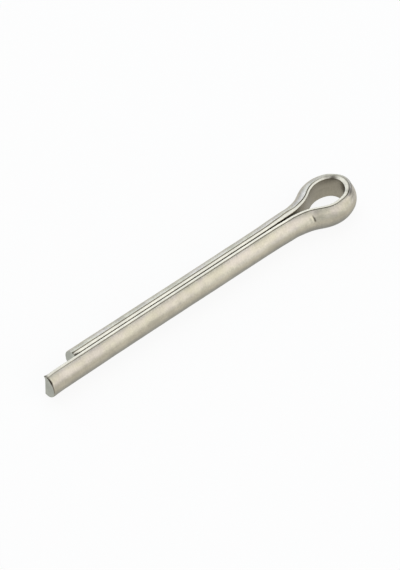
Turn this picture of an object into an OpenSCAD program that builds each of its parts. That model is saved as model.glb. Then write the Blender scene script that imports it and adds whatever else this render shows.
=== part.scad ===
// Split pin that holds brake pads in a caliper: a small cotter pin.
// One length of D-section wire is folded back on itself, so its two prongs lie flat face to
// flat face as a round shank, and the fold bulges out into an eye.
// Frame: the shank's axis is the X axis, with the eye towards +X and the ends towards -X.
// The origin is on that axis, at the shoulder where the prongs start to part. The hole through
// the eye runs along Z. The longer prong is on the -Y side.

/* [Shank] */
// Diameter of the shank, over both prongs
shank_d = 2.75; // [2:0.05:3.2]
// Gap between the flat faces of the two prongs
slit = 0.1; // [0.05:0.01:0.3]
// Length of the shorter prong, from the shoulder to its end
short_prong = 25; // [12:0.5:60]
// How far the longer prong reaches past the shorter one
prong_step = 3.5; // [0.5:0.1:6]

/* [Wire edges] */
// Width of the flat land that runs beside each edge of a flat face
land_w = 0.28; // [0.1:0.01:0.4]
// Width of the rolled crease between a land and the round face
crease_w = 0.09; // [0.04:0.01:0.15]
// Depth of that crease
crease_depth = 0.045; // [0.02:0.005:0.1]

/* [Eye] */
// Widest opening inside the eye
eye_w = 2.66; // [2.45:0.01:3.6]
// Length inside the eye, from the shoulder to the far end of the opening
eye_len = 6.04; // [5:0.02:9]
// Inner radius of the bend at the head of the eye
head_r = 1.2; // [0.8:0.01:1.2]
// Inner radius of the eye's side that leads to the longer prong
long_side_r = 2.6; // [1.9:0.05:3.2]
// Inner radius of the eye's side that leads to the shorter prong
short_side_r = 2.4; // [1.9:0.05:3.2]

/* [Hidden] */
$fn = 144;
shank_r = shank_d / 2;
flat_x = slit / 2;
crease_x = flat_x + land_w;
round_x = crease_x + crease_w;
land_z = sqrt(shank_r * shank_r - round_x * round_x);
head_x = eye_len - head_r;
// Neighbouring pieces of the wire overlap by this many mm, or degrees in a bend: a hair, so
// that they join and no step shows
overlap = 0.00001;

// Turns are kept to thousandths of a degree
function rounded_turn(angle) = round(angle * 1000) / 1000;

// How far the head's bend turns past square before a side of radius r takes over, so that the
// opening is eye_w wide
function side_turn(r) = rounded_turn(acos((r - eye_w / 2) / (r - head_r)));

// Centre of a side of radius r, which meets the head's bend without a step
function side_centre(r) = [
    head_x - (r - head_r) * sin(side_turn(r)),
    -(r - head_r) * cos(side_turn(r))
];

// Angle that the bend at the shoulder turns through, from the shank into a side of radius r
function shoulder_turn(r) =
    let (c = side_centre(r))
    rounded_turn(2 * atan((r - flat_x + c.y) / c.x));

// Radius of the wire's flat face in that bend
function shoulder_r(r) =
    let (c = side_centre(r), turn = shoulder_turn(r))
    (r * cos(turn) - flat_x + c.y) / (1 - cos(turn));

// Where that bend starts: at the origin, but for what rounding its turn leaves over
function shoulder_x(r) = side_centre(r).x - (shoulder_r(r) + r) * sin(shoulder_turn(r));

// Moves by v in two steps, whole hundredths first, so that no digits of it are lost and the
// pieces of the wire meet face to face
module place(v) {
    hundredths = [for (c = v) round(c * 100) / 100];
    translate(hundredths)
        translate(v - hundredths)
            children();
}

// The wire's section. x is the distance from the middle of the slit, and y is height.
module wire_section() {
    difference() {
        intersection() {
            circle(r = shank_r);
            translate([flat_x, -land_z])
                square([shank_r, 2 * land_z]);
        }
        for (side = [-1, 1])
            polygon([
                [crease_x, side * shank_r],
                [crease_x, side * land_z],
                [(crease_x + round_x) / 2, side * (land_z - crease_depth)],
                [round_x, side * land_z],
                [round_x, side * shank_r]
            ]);
    }
}

// Turns a section about Z between two angles
module turn_between(from, to) {
    rotate_extrude(start = from - overlap, angle = to - from + 2 * overlap)
        children();
}

// Wire bent round a centre that its flat face looks at, from radius r
module bend_in(r, from, to) {
    turn_between(from, to)
        place([r - flat_x, 0])
            wire_section();
}

// Wire bent round a centre that its flat face looks away from, at radius r
module bend_out(r, from, to) {
    turn_between(from, to)
        place([r + flat_x, 0])
            mirror([1, 0])
                wire_section();
}

// One prong with its side of the eye, on the +Y side
module leg(length, side_r) {
    place([shoulder_x(side_r), 0, 0])
        translate([-length, 0, 0])
            rotate([90, 0, 90])
                linear_extrude(length + overlap)
                    wire_section();
    place([shoulder_x(side_r), flat_x + shoulder_r(side_r), 0])
        bend_out(shoulder_r(side_r), -90, shoulder_turn(side_r) - 90);
    place([side_centre(side_r).x, side_centre(side_r).y, 0])
        bend_in(side_r, 90 - side_turn(side_r), 90 + shoulder_turn(side_r));
}

module split_pin() {
    color("tan") {
        leg(short_prong, short_side_r);
        mirror([0, 1, 0])
            leg(short_prong + prong_step, long_side_r);
        place([head_x, 0, 0])
            bend_in(head_r, side_turn(long_side_r) - 90, 90 - side_turn(short_side_r));
    }
}

split_pin();
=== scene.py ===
"""Looks of the split pin that holds brake pads in a caliper.

The pin is one length of D-section steel wire, folded back on itself into a shank and an eye.
Its CAD node is replaced by one mesh: the same plan and section as part.scad, swept as a chain
of rings, with the rolled edges, sheared ends, wear and tool marks of the photographed pin.
Sizes are in millimetres until a mesh is made, and Blender's objects are in metres.
"""

import math

import bpy
import numpy as np
from mathutils import Matrix, Vector


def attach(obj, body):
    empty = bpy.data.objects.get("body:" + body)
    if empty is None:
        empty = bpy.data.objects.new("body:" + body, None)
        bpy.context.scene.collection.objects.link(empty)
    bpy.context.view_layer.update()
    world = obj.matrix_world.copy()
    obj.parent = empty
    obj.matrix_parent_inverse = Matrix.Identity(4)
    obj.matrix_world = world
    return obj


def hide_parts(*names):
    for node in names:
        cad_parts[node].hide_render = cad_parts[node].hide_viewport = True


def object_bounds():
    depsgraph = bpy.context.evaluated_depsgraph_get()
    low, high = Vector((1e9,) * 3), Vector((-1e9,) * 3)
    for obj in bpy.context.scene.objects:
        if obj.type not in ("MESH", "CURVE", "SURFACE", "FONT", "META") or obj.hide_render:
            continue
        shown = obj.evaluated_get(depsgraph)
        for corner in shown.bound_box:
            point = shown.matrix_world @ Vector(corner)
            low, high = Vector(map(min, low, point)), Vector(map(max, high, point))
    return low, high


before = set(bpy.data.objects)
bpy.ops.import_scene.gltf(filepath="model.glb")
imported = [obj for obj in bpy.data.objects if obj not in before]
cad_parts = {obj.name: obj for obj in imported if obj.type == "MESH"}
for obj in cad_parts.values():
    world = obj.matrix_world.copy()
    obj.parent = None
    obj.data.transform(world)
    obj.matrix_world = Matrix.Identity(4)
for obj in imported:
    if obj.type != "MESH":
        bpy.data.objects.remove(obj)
cad_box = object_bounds()

MM = 0.001
NODE = "split_pin"
BODY = "root"

# Values of part.scad, in mm
SHANK_R = 2.75 / 2
SLIT = 0.1
SHORT_PRONG = 25.0
PRONG_STEP = 3.5
LAND_W = 0.28
CREASE_W = 0.09
CREASE_DEPTH = 0.045
EYE_W = 2.66
EYE_LEN = 6.04
HEAD_R = 1.2
LONG_SIDE_R = 2.6
SHORT_SIDE_R = 2.4

# Derived as in part.scad
FLAT_X = SLIT / 2
CREASE_X = FLAT_X + LAND_W
ROUND_X = CREASE_X + CREASE_W
LAND_Z = math.sqrt(SHANK_R**2 - ROUND_X**2)
HEAD_X = EYE_LEN - HEAD_R


# ---------------------------------------------------------------- camera

CAMERA_TURN = math.radians(39.42)  # round Z, from looking along +Y towards looking along +X
CAMERA_TILT = math.radians(52.46)  # below the horizon
CAMERA_DISTANCE = 0.787  # metres, from the point it is aimed at
CAMERA_SEES = (0.05, 20)  # metres, from the nearest to the farthest
CAMERA_LENS = 549.4  # mm, on a sensor that is as long as the picture's long side
CAMERA_SENSOR = 36
AIM_FROM = Vector((-1.795 * MM, 0, 0))
# From there to the middle of the picture
AIM_LEFT = 6.752 * MM
AIM_DOWN = 4.588 * MM


def add_camera():
    """The photograph's viewing angle: a long lens, looking down on the pin from its open end."""
    turn, tilt = CAMERA_TURN, CAMERA_TILT
    level = math.cos(tilt)
    right = Vector((math.cos(turn), -math.sin(turn), 0))
    ahead = Vector((math.sin(turn) * level, math.cos(turn) * level, -math.sin(tilt)))
    up = right.cross(ahead)
    aim = AIM_FROM - AIM_LEFT * right - AIM_DOWN * up
    camera = bpy.data.objects.new("camera", bpy.data.cameras.new("camera"))
    camera.data.lens = CAMERA_LENS
    camera.data.sensor_width = CAMERA_SENSOR
    camera.data.clip_start, camera.data.clip_end = CAMERA_SEES
    turned = Matrix((right, up, -ahead)).transposed().to_4x4()
    camera.matrix_world = Matrix.Translation(aim - CAMERA_DISTANCE * ahead) @ turned
    bpy.context.scene.collection.objects.link(camera)
    bpy.context.scene.camera = camera


# ---------------------------------------------------------------- the wire's plan

def side_turn(r):
    """How far the head's bend turns past square before a side of radius r takes over."""
    return math.acos((r - EYE_W / 2) / (r - HEAD_R))


def side_centre(r):
    """Centre of a side of radius r, which meets the head's bend without a step."""
    turn = side_turn(r)
    return HEAD_X - (r - HEAD_R) * math.sin(turn), -(r - HEAD_R) * math.cos(turn)


def shoulder_turn(r):
    """Angle of the bend from the shank into a side of radius r."""
    x, y = side_centre(r)
    return 2 * math.atan((r - FLAT_X + y) / x)


def shoulder_r(r):
    """Radius of the wire's flat face in that bend."""
    turn = shoulder_turn(r)
    return (r * math.cos(turn) - FLAT_X + side_centre(r)[1]) / (1 - math.cos(turn))


LONG_PRONG = SHORT_PRONG + PRONG_STEP

# The flat face's line seen from above, from the long prong's end to the short prong's end:
# (length of a straight or None, radius, turn), where a turn to the left is positive
PLAN = [
    (LONG_PRONG, 0, 0),
    (None, shoulder_r(LONG_SIDE_R), -shoulder_turn(LONG_SIDE_R)),
    (None, LONG_SIDE_R, shoulder_turn(LONG_SIDE_R) + side_turn(LONG_SIDE_R)),
    (None, HEAD_R, math.pi - side_turn(LONG_SIDE_R) - side_turn(SHORT_SIDE_R)),
    (None, SHORT_SIDE_R, shoulder_turn(SHORT_SIDE_R) + side_turn(SHORT_SIDE_R)),
    (None, shoulder_r(SHORT_SIDE_R), -shoulder_turn(SHORT_SIDE_R)),
    (SHORT_PRONG, 0, 0),
]
PLAN_LENGTHS = [straight or abs(r * turn) for straight, r, turn in PLAN]
PLAN_ENDS = np.cumsum([0] + PLAN_LENGTHS)
WIRE_LENGTH = PLAN_ENDS[-1]
EYE_STARTS, EYE_ENDS = PLAN_ENDS[1], PLAN_ENDS[-2]
ROUNDING = 1e-9  # error that a sum of lengths may have


def follow_plan(along):
    """Place (x, y) and heading of the flat face at each distance along the wire."""
    x, y, heading = -LONG_PRONG, -FLAT_X, 0.0
    placed = np.zeros((len(along), 3))
    for (straight, r, turn), start, length in zip(PLAN, PLAN_ENDS, PLAN_LENGTHS):
        here = along >= start - ROUNDING
        t = np.minimum(np.append(along[here] - start, length), length)
        if straight:
            xs = x + t * math.cos(heading)
            ys = y + t * math.sin(heading)
            hs = np.full(len(t), heading)
        else:
            curve = math.copysign(1 / r, turn)
            hs = heading + curve * t
            xs = x + (np.sin(hs) - math.sin(heading)) / curve
            ys = y - (np.cos(hs) - math.cos(heading)) / curve
        placed[here] = np.stack([xs[:-1], ys[:-1], hs[:-1]], 1)
        x, y, heading = xs[-1], ys[-1], hs[-1]
    return placed


# ---------------------------------------------------------------- smooth changes

def smooth_step(low, high, t):
    """From 0 at low to 1 at high, without a kink."""
    t = np.clip((t - low) / (high - low), 0, 1)
    return t * t * (3 - 2 * t)


def through(points, t):
    """A smooth line through (place, value) points, level beyond them."""
    places, values = (np.array(column, float) for column in zip(*points))
    index = np.clip(np.searchsorted(places, t) - 1, 0, len(places) - 2)
    share = smooth_step(0, 1, (t - places[index]) / (places[index + 1] - places[index]))
    return values[index] + (values[index + 1] - values[index]) * share


def bump_at(t, middle, reach):
    return np.exp(-(((t - middle) / reach) ** 2))


def ripple(along, around, pitch, seed):
    """A smooth random relief over the wire's surface, from about -1 to 1."""
    rng = np.random.default_rng(seed)
    total = 0
    for _ in range(WAVES):
        angle, phase = rng.uniform(0, 2 * math.pi, 2)
        rate = rng.uniform(*WAVE_RATES) * 2 * math.pi / pitch
        ahead = along * math.cos(angle) + around * math.sin(angle)
        total = total + np.sin(rate * ahead + phase)
    return total / WAVES_HEIGHT


# ---------------------------------------------------------------- the wire's section

EDGE_R = 0.05  # rounding of the flat face's edges
FLAT_POINTS, EDGE_POINTS, LAND_POINTS, CREASE_POINTS, ROUND_POINTS = 6, 5, 7, 9, 34
CREASE_SHARPNESS = 1.5
CREASE_SHADE_REACH = 0.065  # reach of the painted shade beside a crease


def half_section():
    """Distance out from the flat face, and height, from the flat face's middle up over the
    land and the crease to the round face's middle."""
    out, height = [], []
    flat_top = LAND_Z - EDGE_R
    for t in np.linspace(0, 1, FLAT_POINTS, endpoint=False):
        out.append(0)
        height.append(flat_top * t)
    for t in np.linspace(0, math.pi / 2, EDGE_POINTS, endpoint=False):
        out.append(EDGE_R * (1 - math.cos(t)))
        height.append(flat_top + EDGE_R * math.sin(t))
    for t in np.linspace(0, 1, LAND_POINTS, endpoint=False):
        out.append(EDGE_R + (LAND_W - EDGE_R) * t)
        height.append(LAND_Z)
    for t in np.linspace(0, 1, CREASE_POINTS, endpoint=False):
        out.append(LAND_W + CREASE_W * t)
        height.append(LAND_Z)
    start = math.acos(ROUND_X / SHANK_R)
    for t in np.linspace(start, 0, ROUND_POINTS):
        out.append(SHANK_R * math.cos(t) - FLAT_X)
        height.append(SHANK_R * math.sin(t))
    return np.array(out), np.array(height)


def section():
    """The outline, once round from the flat face's middle, and how far each point is on each
    zone. The lower half mirrors the upper half, also in the distance around and in the
    degrees turned from the top. Degrees down run on from the top to the bottom."""
    out, height = half_section()
    land_at = FLAT_POINTS + EDGE_POINTS
    round_at = land_at + LAND_POINTS + CREASE_POINTS
    index = np.arange(len(out))
    in_crease = np.clip((out - LAND_W) / CREASE_W, 0, 1)
    from_crease = out - LAND_W - CREASE_W / 2
    steps = np.hypot(np.diff(out, prepend=out[0]), np.diff(height, prepend=height[0]))
    half = {
        "out": out,
        "around": np.cumsum(steps),
        "turned": np.degrees(np.arctan2(out + FLAT_X, height)),
        "dip": np.sin(math.pi * in_crease) ** CREASE_SHARPNESS * (index >= land_at),
        "crease": bump_at(from_crease, 0, CREASE_SHADE_REACH) * (index >= land_at),
        "land": 1.0 * ((index >= land_at - 1) & (index <= round_at - CREASE_POINTS)),
        "flat": 1.0 * (index < land_at - 2),
        "round": 1.0 * (index >= round_at),
    }
    whole = {name: np.concatenate([side, side[-2:0:-1]]) for name, side in half.items()}
    whole["height"] = np.concatenate([height, -height[-2:0:-1]])
    whole["top"] = 1.0 * (whole["height"] > 0)
    whole["down"] = np.where(whole["height"] > 0, whole["turned"], 180 - whole["turned"])
    ahead_out = np.roll(whole["out"], -1) - np.roll(whole["out"], 1)
    ahead_height = np.roll(whole["height"], -1) - np.roll(whole["height"], 1)
    size = np.hypot(ahead_out, ahead_height)
    whole["normal_out"] = -ahead_height / size
    whole["normal_height"] = ahead_out / size
    return whole


# ---------------------------------------------------------------- the wire's shape as made

SLIT_WIDTH = [(-28, 0.062), (-14, 0.07), (-4, 0.09), (0.3, 0.17)]  # at distances along X
SLIT_FADE = (0.3, 3)  # along X, where the slit's width gives way to the plan's
END_BOW = 0.05  # the long prong's last stretch leans out by this much
END_BOW_LENGTH = 1.8

# Distances along the wire, from the long prong's end, with a value at each
WIRE_DEPTH = [  # share of the section's full depth, which is least at the head
    (0, 1.0), (1.5, 0.985), (4, 0.962), (8, 0.93), (11, 0.92), (20, 0.918), (27, 0.916),
    (28.3, 0.912), (29.8, 0.93), (31.5, 0.875), (33.3, 0.87), (34.3, 0.83), (35.5, 0.815),
    (37, 0.868), (40, 0.945), (41.5, 0.97), (42.8, 1.0), (43.8, 1.0), (45.2, 0.975),
    (52, 0.975), (60, 1.0), (67, 1.03),
]
BULGE = [  # mm by which the whole wire stands out of its plan
    (26.5, 0), (28.3, 0.04), (29.3, 0.09), (31.0, 0.085), (32, 0.02), (33.3, 0.03),
    (34.3, 0.06), (35.5, 0.045), (36.8, 0), (38, -0.015), (40, -0.06), (41.5, -0.02), (42.5, 0),
]
LAND_WIDTH = [  # share of the upper land's full width
    (28, 1.0), (31, 0.82), (33.4, 1.0), (34.3, 1.35), (35.4, 1.9), (36.8, 1.1), (38, 0.92),
    (39.5, 0.82), (41.3, 1.0), (42.4, 1.3), (43.5, 1.15), (45, 1.0),
]
LAND_REACH = (0.35, 0.9)  # mm out from the flat face, over which the round face takes that up
CREASE_STRENGTH = [  # how deep the creases are and how dark their painted shade is
    (0, 0.6), (5, 0.9), (28, 1.0), (30, 1.3), (31.8, 1.4), (33, 0.9), (34, 1.0), (35.4, 0.6),
    (36.1, 0.15), (37.1, 0.15), (37.8, 0.65), (39.3, 1.4), (40.4, 1.3), (41.5, 0.75),
    (43, 0.8), (44, 1.0), (60, 1.0), (67, 0.9),
]
LEAST_DIP = 0.35  # share of a crease's depth that is left at strength 0

# Unevenness: its height, its pitch round the wire in mm, the seed, and how fast it changes
# along the wire compared with round it
SWELLS = (0.005, 3.0, 11, 1)
RIPPLES = (0.0016, 0.5, 12, 0.5)
# Each unevenness is a sum of waves in random directions, some slower and some faster
WAVES, WAVE_RATES = 8, (0.6, 1.5)
WAVES_HEIGHT = 4  # which their sum seldom exceeds

# A nick that a tool left across the long side's shoulder: its ends are distances round the
# wire, and it slants and bows along the wire from where it begins
NICK_ALONG, NICK_FROM, NICK_TO = 30.49, 2.08, 2.86
NICK_SLANT, NICK_BOW = 0.36, 0.06
NICK_THIN, NICK_THICK = 0.06, 0.12
NICK_DEPTH = 0.075
NICK_FADES_IN, NICK_FADES_OUT = (-0.1, 0.45), (0.75, 1.05)  # shares of the way round
# Darkness of the painted shade in the nick
NICK_SHADE = 0.85
RIDGE_HEIGHT, RIDGE_BEFORE, RIDGE_REACH = 0.03, 0.3, 0.2  # of metal pushed up beside it

# Sheared ends
ROLL_DEPTH, ROLL_LENGTH = 0.03, 0.1
# The long end's rolled lip, darkened with painted shade: degrees from the top, with its width
# in mm and its darkness
LIP_WIDTH = [(10, 0.05), (26, 0.15), (38, 0.18), (50, 0.14), (62, 0.10), (85, 0.07), (115, 0.03)]
LIP_DARKNESS = [(8, 0), (16, 0.7), (30, 1), (42, 1), (60, 0.6), (90, 0.5), (120, 0)]
LIP_DEPTH = 0.05
LIP_SHADE_ENDS = (0.6, 1.1)  # shares of the lip's width over which its painted shade ends
# A burr over the slit, at the top of the long end: where it is round the wire, and its size
BURR_AROUND, BURR_REACH = 1.29, 0.07
BURR_LENGTH, BURR_OUT, BURR_SAG, BURR_BACK = 0.26, 0.13, 0.06, 0.05
BURR_SHARPNESS = 1.5
# The sheared faces: shares of the rim's size that their rings have, and their slight waves,
# with a height in mm and rates in radians per mm along Y and along Z
END_SHARES = (0.985, 0.96, 0.93, 0.88, 0.8, 0.7, 0.5, 0.25)
END_WAVE, END_WAVE_RATES = 0.012, (5, 3)

# Where the wire has rings: distances from each end, and steps between them
END_STATIONS = [0, 0.015, 0.035, 0.06, 0.09, 0.12, 0.16, 0.21, 0.28, 0.38]
SHANK_STEP, SHOULDER_STEP, NICK_STEP, EYE_STEP = 0.14, 0.06, 0.02, 0.062
AROUND_EYE = 0.5  # how far the eye's steps reach into the shank
AROUND_NICK = (0.4, 0.5)  # and how far the nick's reach before and after it


def stations():
    """Distances along the wire: close together at the ends, in the bends and at the nick."""
    fine_from, fine_to = EYE_STARTS - AROUND_EYE, EYE_ENDS + AROUND_EYE
    nick_from, nick_to = NICK_ALONG - AROUND_NICK[0], NICK_ALONG + AROUND_NICK[1]
    stretches = [
        (END_STATIONS[-1], fine_from, SHANK_STEP),
        (fine_from, nick_from, SHOULDER_STEP),
        (nick_from, nick_to, NICK_STEP),
        (nick_to, fine_to, EYE_STEP),
        (fine_to, WIRE_LENGTH - END_STATIONS[-1], SHANK_STEP),
    ]
    places = [END_STATIONS[:-1]]
    for start, stop, step in stretches:
        places.append(np.linspace(start, stop, round((stop - start) / step), endpoint=False))
    places.append([WIRE_LENGTH - place for place in reversed(END_STATIONS)])
    return np.concatenate(places)


def lip(shape):
    """Width and darkness of the long end's lip at each point round the wire."""
    on_rim = shape["top"] * (1 - shape["flat"])
    return through(LIP_WIDTH, shape["turned"]), through(LIP_DARKNESS, shape["turned"]) * on_rim


def nick_and_ridge(along, shape):
    """How deep the nick is and how high its ridge, each as a share."""
    around = shape["around"]
    down = (around - NICK_FROM) / (NICK_TO - NICK_FROM)
    across = smooth_step(*NICK_FADES_IN, down) * (1 - smooth_step(*NICK_FADES_OUT, down))
    across = across * shape["top"] * shape["round"]
    path = NICK_ALONG + NICK_SLANT * (around - NICK_FROM) + NICK_BOW * np.sin(math.pi * down)
    width = NICK_THIN + (NICK_THICK - NICK_THIN) * np.clip(down, 0, 1)
    nick = bump_at(along, path, width)
    ridge = bump_at(along, path - RIDGE_BEFORE, RIDGE_REACH)
    return across * nick, across * ridge


def unevenness(along, shape):
    """How far the round face stands out by its swells and ripples."""
    stands = 0
    for height, pitch, seed, rate in (SWELLS, RIPPLES):
        stands = stands + height * ripple(rate * along, shape["around"], pitch, seed)
    return stands * shape["round"]


def rolled_edges(along, shape):
    """How far the ends' rims are rolled in, the long end's more than the short end's."""
    from_end = np.minimum(along, WIRE_LENGTH - along)
    rolled = ROLL_DEPTH * np.clip(1 - from_end / ROLL_LENGTH, 0, 1) ** 2
    lip_width, darkness = lip(shape)
    return rolled + LIP_DEPTH * darkness * np.clip(1 - along / lip_width, 0, 1) ** 2


def bent_plan(along):
    """The plan with its prongs pressed together, and the long one's end bowed out."""
    x, y, heading = (column[:, None] for column in follow_plan(along[:, 0]).T)
    shift = (through(SLIT_WIDTH, x) / 2 - FLAT_X) * (1 - smooth_step(*SLIT_FADE, x))
    bow = END_BOW * (1 - smooth_step(0, END_BOW_LENGTH, along)) ** 2
    on_long = along < WIRE_LENGTH / 2
    return x, y + np.where(on_long, -shift - bow, shift), heading


def worn_section(along, shape):
    """Distance out and height of each ring's points, and where the nick is."""
    nick, ridge = nick_and_ridge(along, shape)
    stands = unevenness(along, shape) + RIDGE_HEIGHT * ridge - NICK_DEPTH * nick
    stands = stands - rolled_edges(along, shape)
    near_land = (1 - smooth_step(*LAND_REACH, shape["out"])) * shape["top"]
    out = shape["out"] * (1 + (through(LAND_WIDTH, along) - 1) * near_land)
    out = out * through(WIRE_DEPTH, along) + stands * shape["normal_out"]
    out = out + through(BULGE, along)
    strength = LEAST_DIP + (1 - LEAST_DIP) * through(CREASE_STRENGTH, along)
    dip = CREASE_DEPTH * shape["dip"] * strength
    height = shape["height"] + stands * shape["normal_height"]
    return out, height - dip * np.sign(shape["height"]), nick


def swept_rings(shape):
    """Each ring's distance along the wire, their points, [ring, point, xyz] in mm, and where
    the nick is."""
    along = stations()[:, None]
    x, y, heading = bent_plan(along)
    out, height, nick = worn_section(along, shape)
    burr = np.clip(1 - along / BURR_LENGTH, 0, 1) ** BURR_SHARPNESS
    burr = burr * bump_at(shape["around"], BURR_AROUND, BURR_REACH) * shape["top"]
    out = out - BURR_OUT * burr
    height = height - BURR_SAG * burr
    x = x - BURR_BACK * burr
    rings = np.stack([x + out * np.sin(heading), y - out * np.cos(heading), height], -1)
    return along[:, 0], rings, nick


def end_rings(ring):
    """Rings from the rim to the middle that close an end, and the middle."""
    middle = np.array([ring[:, 0].mean(), ring[:, 1].mean(), 0.0])
    rings = []
    for share in END_SHARES:
        placed = middle + share * (ring - middle)
        wave = END_WAVE_RATES[0] * placed[:, 1] + END_WAVE_RATES[1] * placed[:, 2]
        placed[:, 0] += END_WAVE * np.sin(wave)
        rings.append(placed)
    return rings, middle


# ---------------------------------------------------------------- the wire's wear, and its painted shade and highlights

# Tones, flanks and the low side are matched to the photo, from its one viewpoint. The flanks, the
# low side, the creases, the flat face, the lip, the nick and some patches are painted shade and
# highlights, which stay on the surface in any view and light

# Unevenness of the tone, given as the shape's is, but its height is a change of tone
MOTTLING = (0.045, 4.0, 21, 0.45)
# Patches on the upper half, partly tone and partly painted highlights and shade, as at the shoulder,
# beside the nick and at the head: distance along, distance round, reach along, reach round, change
PATCHES = [
    (25.3, 2.3, 3.2, 0.8, 0.06),
    (30.1, 1.78, 0.5, 0.14, -0.14),
    (31.0, 2.0, 0.35, 0.35, -0.1),
    (30.46, 2.6, 0.07, 0.16, 0.2),
    (30.3, 2.76, 0.1, 0.12, -0.15),
    (30.15, 2.45, 0.25, 0.5, 0.16),
    (31.4, 2.45, 0.4, 0.6, -0.08),
    (32.3, 2.9, 0.9, 0.5, -0.08),
    (32.8, 2.35, 0.4, 0.4, -0.08),
    (34.03, 2.13, 0.25, 0.42, 0.3),
    (34.52, 1.85, 0.23, 0.5, -0.5),
    (35.1, 1.9, 0.3, 0.4, 0.15),
    (37.4, 0.2, 0.9, 0.5, 0.12),
    (35.2, 0.6, 0.35, 1.2, -0.35),
    (36.8, 1.05, 0.9, 0.4, -0.3),
    (32.9, 1.4, 1.1, 0.16, -0.12),
    (39.8, 1.4, 1.0, 0.16, -0.14),
    (0.3, 2.6, 1.1, 1.4, -0.12),
    (1.2, 1.4, 2.2, 0.16, -0.16),
]
# Dark marks on the upper half, near the head and on the long end's burr, and painted shade at the
# slit's roots and at the short end's corner by the slit: the same four, and strength
DARK_MARKS = [
    (36.4, 1.4, 0.33, 0.24, 0.85),
    (36.85, 1.5, 0.35, 0.2, 0.4),
    (41.9, 0.5, 0.6, 0.6, 0.35),
    (28.9, 0.5, 0.6, 0.6, 0.35),
    (0.0, 1.32, 0.17, 0.3, 0.75),
    (WIRE_LENGTH - 0.06, 1.62, 0.22, 0.10, 0.75),
    (WIRE_LENGTH, 1.47, 0.09, 0.2, 0.6),
    (WIRE_LENGTH - 0.12, 1.32, 0.3, 0.09, 0.95),
]
HEAD_CHANGE = (34.2, 34.7)  # where the long side's painted shade gives way to the short side's
# Painted highlight: the short side is paler along the top of its round face: change of tone,
# degrees from the top where it ends, and distances along the wire where it starts
SHORT_CROWN_HIGHLIGHT, CROWN_ENDS, CROWN_STARTS = 0.12, (26, 38), (37.2, 38.7)
SHORT_END_PAINTED_LIGHT = 0.15  # painted light: change of tone over the short prong's end face, paler towards the slit
# Painted shade: the round face is darker down its flank: degrees from the top where that begins
# on the long side, along the wire, and how many more it takes to be full
FLANK_START = [(0, 47), (12, 48), (21, 54), (28, 54), (33, 50)]
FLANK_RISE = 24
# On the short side: degrees from where to where it rises, and its share when full
SHORT_FLANK, SHORT_FLANK_SHARE = (30, 46), 0.45
# Painted shade: the long side is darker still low down, which is matched to the photo's lower
# outline and is full about where that falls: degrees from the top, with a share at each
LOW_SIDE_SHADE = [
    (74, 0), (80, 0.1), (86, 0.35), (94, 0.58), (106, 0.84), (122, 0.95), (145, 0.6), (170, 0.2),
]


def grime_and_shade_over(along, shape, nick):
    """Painted shade on the long end's lip and in the nick, and the dark marks."""
    lip_width, darkness = lip(shape)
    grime_and_shade = darkness * (1 - smooth_step(*LIP_SHADE_ENDS, along / lip_width))
    grime_and_shade = np.maximum(grime_and_shade, NICK_SHADE * nick)
    for at, round_at, reach, round_reach, strength in DARK_MARKS:
        mark = strength * bump_at(along, at, reach) * bump_at(shape["around"], round_at, round_reach)
        grime_and_shade = np.maximum(grime_and_shade, mark * shape["top"])
    return grime_and_shade


def tone_and_light_over(along, shape):
    """How much paler or darker the drawn surface is from place to place, by its own tone and by
    painted highlights and shade.
    """
    around = shape["around"]
    height, pitch, seed, rate = MOTTLING
    tone_and_light = 1 + height * ripple(rate * along, around, pitch, seed)
    for at, round_at, reach, round_reach, change in PATCHES:
        patch = change * bump_at(along, at, reach) * bump_at(around, round_at, round_reach)
        tone_and_light = tone_and_light + patch * shape["top"]
    crown_highlight = (1 - smooth_step(*CROWN_ENDS, shape["turned"])) * shape["round"]
    return tone_and_light + SHORT_CROWN_HIGHLIGHT * crown_highlight * smooth_step(*CROWN_STARTS, along)


def flank_shade_over(along, shape, on_short):
    """How much each point is on the round face's darker flank, which is painted shade."""
    starts = through(FLANK_START, along)
    long_flank = smooth_step(starts, starts + FLANK_RISE, shape["turned"])
    short_flank = SHORT_FLANK_SHARE * smooth_step(*SHORT_FLANK, shape["turned"])
    return (long_flank + on_short * (short_flank - long_flank)) * shape["round"]


def zones_over(along, shape, nick, sheared):
    """The values that the material reads, for each ring and each point of it."""
    on_short = smooth_step(*HEAD_CHANGE, along)
    end_painted_light = 1 + SHORT_END_PAINTED_LIGHT * on_short * (1 - shape["out"])
    return {
        "along": along,
        "around": shape["around"],
        "land": shape["land"],
        # painted shade in and beside the creases
        "crease": shape["crease"] * through(CREASE_STRENGTH, along),
        "flat": shape["flat"],
        # painted shade down the round face's flank
        "flank_shade": flank_shade_over(along, shape, on_short),
        # painted shade low on the long side
        "low_side_shade": through(LOW_SIDE_SHADE, shape["down"]) * shape["round"] * (1 - on_short),
        "sheared": sheared,
        "grime_and_shade": grime_and_shade_over(along, shape, nick) * (1 - sheared),
        "tone_and_light": tone_and_light_over(along, shape) * (1 - sheared) + sheared * end_painted_light,
    }


# ---------------------------------------------------------------- the wire's mesh

def closed_mesh(chain, first_middle, last_middle):
    """Rings joined by quads, and closed at both ends by a fan."""
    count = chain.shape[1]
    points = np.concatenate([chain.reshape(-1, 3), [first_middle, last_middle]])
    number = np.arange(len(chain) * count).reshape(len(chain), count)
    ahead = np.roll(number, -1, axis=1)
    quads = np.stack([number[:-1], ahead[:-1], ahead[1:], number[1:]], -1).reshape(-1, 4)
    first, last = len(points) - 2, len(points) - 1
    fans = [(first, b, a) for a, b in zip(number[0], ahead[0])]
    fans += [(last, a, b) for a, b in zip(number[-1], ahead[-1])]
    mesh = bpy.data.meshes.new(NODE + "_wire")
    mesh.from_pydata((points * MM).tolist(), [], quads.tolist() + fans)
    mesh.validate()
    return mesh


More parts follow.
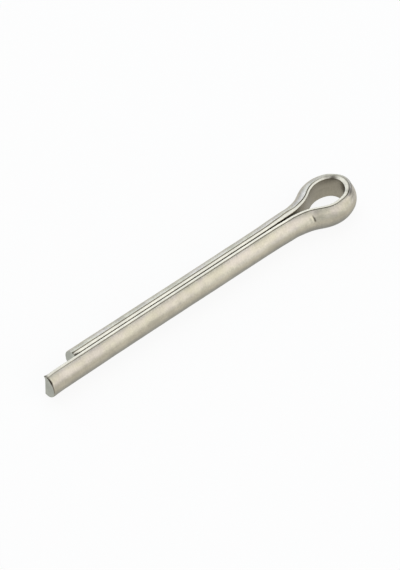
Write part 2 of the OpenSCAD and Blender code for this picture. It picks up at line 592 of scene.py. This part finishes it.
def write_zones(mesh, zones, rings, points):
    """The values as attributes of the mesh: ring after ring, then the ends' two middles."""
    for name, values in zones.items():
        grid = np.broadcast_to(values, (rings, points)).ravel()
        made = mesh.attributes.new(name, "FLOAT", "POINT")
        made.data.foreach_set("value", np.append(grid, [grid[0], grid[-1]]).astype(np.float32))


def build_wire():
    """One closed mesh: end, wire, end, with its zones as attributes."""
    shape = section()
    along, rings, nick = swept_rings(shape)
    first_rings, first_middle = end_rings(rings[0])
    last_rings, last_middle = end_rings(rings[-1])
    chain = np.array(first_rings[::-1] + list(rings) + last_rings)
    mesh = closed_mesh(chain, first_middle, last_middle)

    caps = len(END_SHARES)
    along = np.pad(along, caps, "edge")[:, None]
    nick = np.pad(nick, ((caps, caps), (0, 0)))
    sheared = np.ones((len(chain), 1))
    sheared[caps:-caps] = 0
    write_zones(mesh, zones_over(along, shape, nick, sheared), *chain.shape[:2])
    mesh.polygons.foreach_set("use_smooth", np.ones(len(mesh.polygons), bool))
    mesh.update()
    wire = bpy.data.objects.new(NODE + "_wire", mesh)
    bpy.context.scene.collection.objects.link(wire)
    return wire


# ---------------------------------------------------------------- materials

# A colour Mix node's sockets
MIX_SHARE, MIX_A, MIX_B, MIX_RESULT = 0, 6, 7, 2


def put(tree, value, socket):
    """Set a socket to a value, or link it where the value is a node's output."""
    if isinstance(value, bpy.types.NodeSocket):
        tree.links.new(value, socket)
    else:
        socket.default_value = value


def add_node(tree, kind, inputs=(), **settings):
    """A node with its settings, and its inputs set to a value or linked from an output."""
    made = tree.nodes.new(kind)
    for name, value in settings.items():
        setattr(made, name, value)
    for name, value in dict(inputs).items():
        put(tree, value, made.inputs[name])
    return made


def zone(tree, name):
    return add_node(tree, "ShaderNodeAttribute", attribute_name=name).outputs["Fac"]


def mix_colour(tree, share, a, b):
    """Colour b over colour a, each (red, green, blue) or a node's output."""
    made = add_node(tree, "ShaderNodeMix", data_type="RGBA")
    put(tree, share, made.inputs[MIX_SHARE])
    for socket, colour in ((MIX_A, a), (MIX_B, b)):
        put(tree, (*colour, 1) if isinstance(colour, tuple) else colour, made.inputs[socket])
    return made.outputs[MIX_RESULT]


def calculate(tree, operation, a, b):
    made = add_node(tree, "ShaderNodeMath", operation=operation)
    put(tree, a, made.inputs[0])
    put(tree, b, made.inputs[1])
    return made.outputs[0]


def remap(tree, value, low, high, to_low, to_high, **settings):
    made = add_node(tree, "ShaderNodeMapRange", {
        "Value": value, "From Min": low, "From Max": high, "To Min": to_low, "To Max": to_high,
    }, **settings)
    return made.outputs["Result"]


def add_up(tree, total, *others):
    """A value plus others, which each have a weight."""
    for value, weight in others:
        total = calculate(tree, "ADD", total, calculate(tree, "MULTIPLY", value, weight))
    return total


def noise(tree, vector, pattern):
    """Random values over a place, by a pattern's scales and detail."""
    scales, detail = pattern
    stretched = add_node(tree, "ShaderNodeMapping", {"Vector": vector, "Scale": scales})
    return add_node(tree, "ShaderNodeTexNoise", {
        "Vector": stretched.outputs[0], "Scale": 1.0, "Detail": detail,
    }).outputs["Fac"]


# The round face's colour varies between these
ROUND_PINKER = (0.648, 0.61, 0.553)
ROUND_YELLOWER = (0.638, 0.614, 0.511)
# The other zones' colours, each laid over the ones before it. The flank, the low side, the flat
# face and the creases are darker as painted shade
ZONE_COLOURS = {
    "flank_shade": (0.495, 0.458, 0.365),
    "low_side_shade": (0.25, 0.245, 0.218),
    "land": (0.745, 0.695, 0.585),
    # painted shade on the flat face, in the slit and inside the eye
    "flat": (0.325, 0.298, 0.235),
    "crease": (0.185, 0.16, 0.112),
    "sheared": (0.425, 0.435, 0.385),
}
# The colour of the dark marks and of the painted shade on the lip and in the nick
GRIME_AND_SHADE_COLOUR = (0.055, 0.042, 0.028)
EDGE_TINT = (0.82, 0.82, 0.81, 1)  # steel's reflection at a glancing angle

# Noise patterns, each with its scales and detail: per mm along and round the wire
DRAWN_LINES = ((0.45, 11, 1), 4.0)
TICKS = ((7, 0.9, 1), 2.0)
# and per metre in space
CLOUDS = ((1000, 1000, 1000), 3.0)
GRAIN = ((6000, 6000, 6000), 3.0)
HUES = ((600, 600, 800), 3.0)
HUE_RANGE = (0.4, 0.6)  # of its noise, from the pinker colour to the yellower one

SPOTS = 0.1  # share by which the satin is duller or brighter from place to place
SPOT_GRAIN, SPOT_TICKS = 0.5, 0.3  # weights beside the clouds
SPOT_RANGE = (0.75, 1.05)  # of the weighted sum, from duller to brighter
CLOUD_RANGE, ROUGHNESS = (0.3, 0.7), (0.36, 0.46)  # of the clouds, and what they give
GRIME_AND_SHADE_ROUGHER, GRIME_AND_SHADE_METAL = 0.3, 0.3  # roughness that the grime and painted shade add, and how metallic they are
# Weights of the patterns in the fine relief, and its strength and depth in metres
LINE_RELIEF, GRAIN_RELIEF, TICK_RELIEF = 0.35, 0.5, 0.35
BUMP_STRENGTH, BUMP_DISTANCE = 0.6, 0.00001


def steel_colour(tree, hue, spots, grime_and_shade):
    """The zones' colours over each other, with their tone and painted light, spots, and grime and
    painted shade.
    """
    colour = mix_colour(tree, hue, ROUND_PINKER, ROUND_YELLOWER)
    for name, over in ZONE_COLOURS.items():
        colour = mix_colour(tree, zone(tree, name), colour, over)
    tone_and_light = calculate(tree, "MULTIPLY", spots, zone(tree, "tone_and_light"))
    toned = add_node(tree, "ShaderNodeVectorMath", operation="SCALE")
    tree.links.new(colour, toned.inputs[0])
    tree.links.new(tone_and_light, toned.inputs["Scale"])
    return mix_colour(tree, grime_and_shade, toned.outputs[0], GRIME_AND_SHADE_COLOUR)


def steel():
    """Satin drawn steel, warm and a little mottled, with its zones told apart by wear and by painted
    shade and highlights.
    """
    material = bpy.data.materials.new("worn_steel_with_painted_shade")
    material.use_nodes = True
    tree = material.node_tree
    tree.nodes.clear()
    on_wire = add_node(tree, "ShaderNodeCombineXYZ", {
        "X": zone(tree, "along"), "Y": zone(tree, "around"),
    }).outputs[0]
    place = add_node(tree, "ShaderNodeTexCoord").outputs["Object"]
    drawn = noise(tree, on_wire, DRAWN_LINES)
    ticks = noise(tree, on_wire, TICKS)
    clouds = noise(tree, place, CLOUDS)
    grain = noise(tree, place, GRAIN)
    hue = remap(tree, noise(tree, place, HUES), *HUE_RANGE, 0, 1)
    grime_and_shade = zone(tree, "grime_and_shade")

    spots = add_up(tree, clouds, (grain, SPOT_GRAIN), (ticks, SPOT_TICKS))
    spots = remap(tree, spots, *SPOT_RANGE, 1 - SPOTS, 1 + SPOTS)
    roughness = remap(tree, clouds, *CLOUD_RANGE, *ROUGHNESS)
    lines = calculate(tree, "MULTIPLY", drawn, LINE_RELIEF)
    relief_height = add_up(tree, lines, (grain, GRAIN_RELIEF), (ticks, TICK_RELIEF))
    bump = add_node(tree, "ShaderNodeBump", {
        "Height": relief_height, "Strength": BUMP_STRENGTH, "Distance": BUMP_DISTANCE,
    }).outputs[0]
    shader = add_node(tree, "ShaderNodeBsdfPrincipled", {
        "Base Color": steel_colour(tree, hue, spots, grime_and_shade),
        "Metallic": remap(tree, grime_and_shade, 0, 1, 1.0, GRIME_AND_SHADE_METAL),
        "Roughness": add_up(tree, roughness, (grime_and_shade, GRIME_AND_SHADE_ROUGHER)),
        "Normal": bump,
        "Specular Tint": EDGE_TINT,
    })
    output = tree.nodes.new("ShaderNodeOutputMaterial")
    tree.links.new(shader.outputs[0], output.inputs["Surface"])
    return material


# ---------------------------------------------------------------- floor and light

FLOOR_HALF = 3.0  # metres from its middle to its sides
FLOOR_COLOUR = (0.98, 0.98, 0.98, 1)
FLOOR_GLOW = 0.9  # share of the floor's white that doesn't depend on the light
AMBIENT = 0.55  # brightness of the surrounding
# The surrounding is darker towards one side and bluish towards another. The ranges are of
# the cosine between a direction and that side
DARK_SIDE = Vector((0.96, -0.05, 0.28))
DARK_SIDE_RANGE, DARK_SIDE_SHARE = (0.6, 1.0), 0.75
COOL_SIDE = Vector((0.25, 0.95, 0.15))
COOL_SIDE_RANGE, COOL_WHITE = (0.2, 0.8), (0.81, 0.89, 1.02)

# Soft boxes: where each stands from the pin, its size, how bright it looks and its colour
LAMPS = {
    "back_panel": ((0.28, 0.60, 0.75), 1.35, 0.95, (0.89, 0.95, 1.0)),
    "front_box": ((0.40, -0.72, 0.57), 1.12, 0.81, (1.0, 0.945, 0.865)),
}


def floor_material():
    """White, which seen directly or in a reflection mostly doesn't depend on the light."""
    material = bpy.data.materials.new("pale_floor")
    material.use_nodes = True
    tree = material.node_tree
    tree.nodes.clear()
    rays = tree.nodes.new("ShaderNodeLightPath").outputs
    seen = calculate(tree, "MAXIMUM", rays["Is Camera Ray"], rays["Is Glossy Ray"])
    seen = calculate(tree, "MAXIMUM", seen, rays["Is Transmission Ray"])
    share = calculate(tree, "MULTIPLY", seen, FLOOR_GLOW)
    lit = add_node(tree, "ShaderNodeBsdfDiffuse", {"Color": FLOOR_COLOUR})
    glow = add_node(tree, "ShaderNodeEmission", {"Color": (1, 1, 1, 1), "Strength": 1.0})
    mixed = tree.nodes.new("ShaderNodeMixShader")
    tree.links.new(share, mixed.inputs[0])
    tree.links.new(lit.outputs[0], mixed.inputs[1])
    tree.links.new(glow.outputs[0], mixed.inputs[2])
    output = tree.nodes.new("ShaderNodeOutputMaterial")
    tree.links.new(mixed.outputs[0], output.inputs["Surface"])
    return material


def add_floor():
    half = FLOOR_HALF
    corners = [(-half, -half, 0), (half, -half, 0), (half, half, 0), (-half, half, 0)]
    mesh = bpy.data.meshes.new("floor")
    mesh.from_pydata(corners, [], [(0, 1, 2, 3)])
    mesh.materials.append(floor_material())
    floor = bpy.data.objects.new("floor", mesh)
    floor.location.z = cad_box[0].z
    bpy.context.scene.collection.objects.link(floor)


def facing(tree, direction, side):
    """The cosine between a direction and a side."""
    towards = add_node(tree, "ShaderNodeVectorMath", operation="DOT_PRODUCT")
    tree.links.new(direction, towards.inputs[0])
    towards.inputs[1].default_value = side.normalized()
    return towards.outputs["Value"]


def light_world():
    """A plain white surrounding, darker towards one side and bluish towards another."""
    world = bpy.data.worlds.new("light_tent")
    bpy.context.scene.world = world
    world.use_nodes = True
    tree = world.node_tree
    background = tree.nodes["Background"]
    direction = add_node(tree, "ShaderNodeTexCoord").outputs["Generated"]
    soft = {"interpolation_type": "SMOOTHSTEP"}
    darkest = AMBIENT * (1 - DARK_SIDE_SHARE)
    dark_side = facing(tree, direction, DARK_SIDE)
    level = remap(tree, dark_side, *DARK_SIDE_RANGE, AMBIENT, darkest, **soft)
    cool_side = facing(tree, direction, COOL_SIDE)
    cool = remap(tree, cool_side, *COOL_SIDE_RANGE, 0, 1, **soft)
    tree.links.new(mix_colour(tree, cool, (1, 1, 1), COOL_WHITE), background.inputs["Color"])
    tree.links.new(level, background.inputs["Strength"])


def add_lamps():
    """Square soft boxes a metre away, which look at the pin."""
    for name, (towards, size, brightness, colour) in LAMPS.items():
        lamp = bpy.data.lights.new(name, "AREA")
        lamp.size = size
        lamp.energy = brightness * math.pi * size**2
        lamp.color = colour
        placed = bpy.data.objects.new(name, lamp)
        placed.location = Vector(towards).normalized()
        placed.rotation_euler = placed.location.to_track_quat("Z", "Y").to_euler()
        placed.visible_camera = False
        bpy.context.scene.collection.objects.link(placed)


def main():
    add_camera()
    add_floor()
    light_world()
    add_lamps()
    wire = build_wire()
    wire.data.materials.append(steel())
    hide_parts(NODE)
    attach(wire, BODY)
    bpy.context.scene.view_settings.view_transform = "Standard"


main()
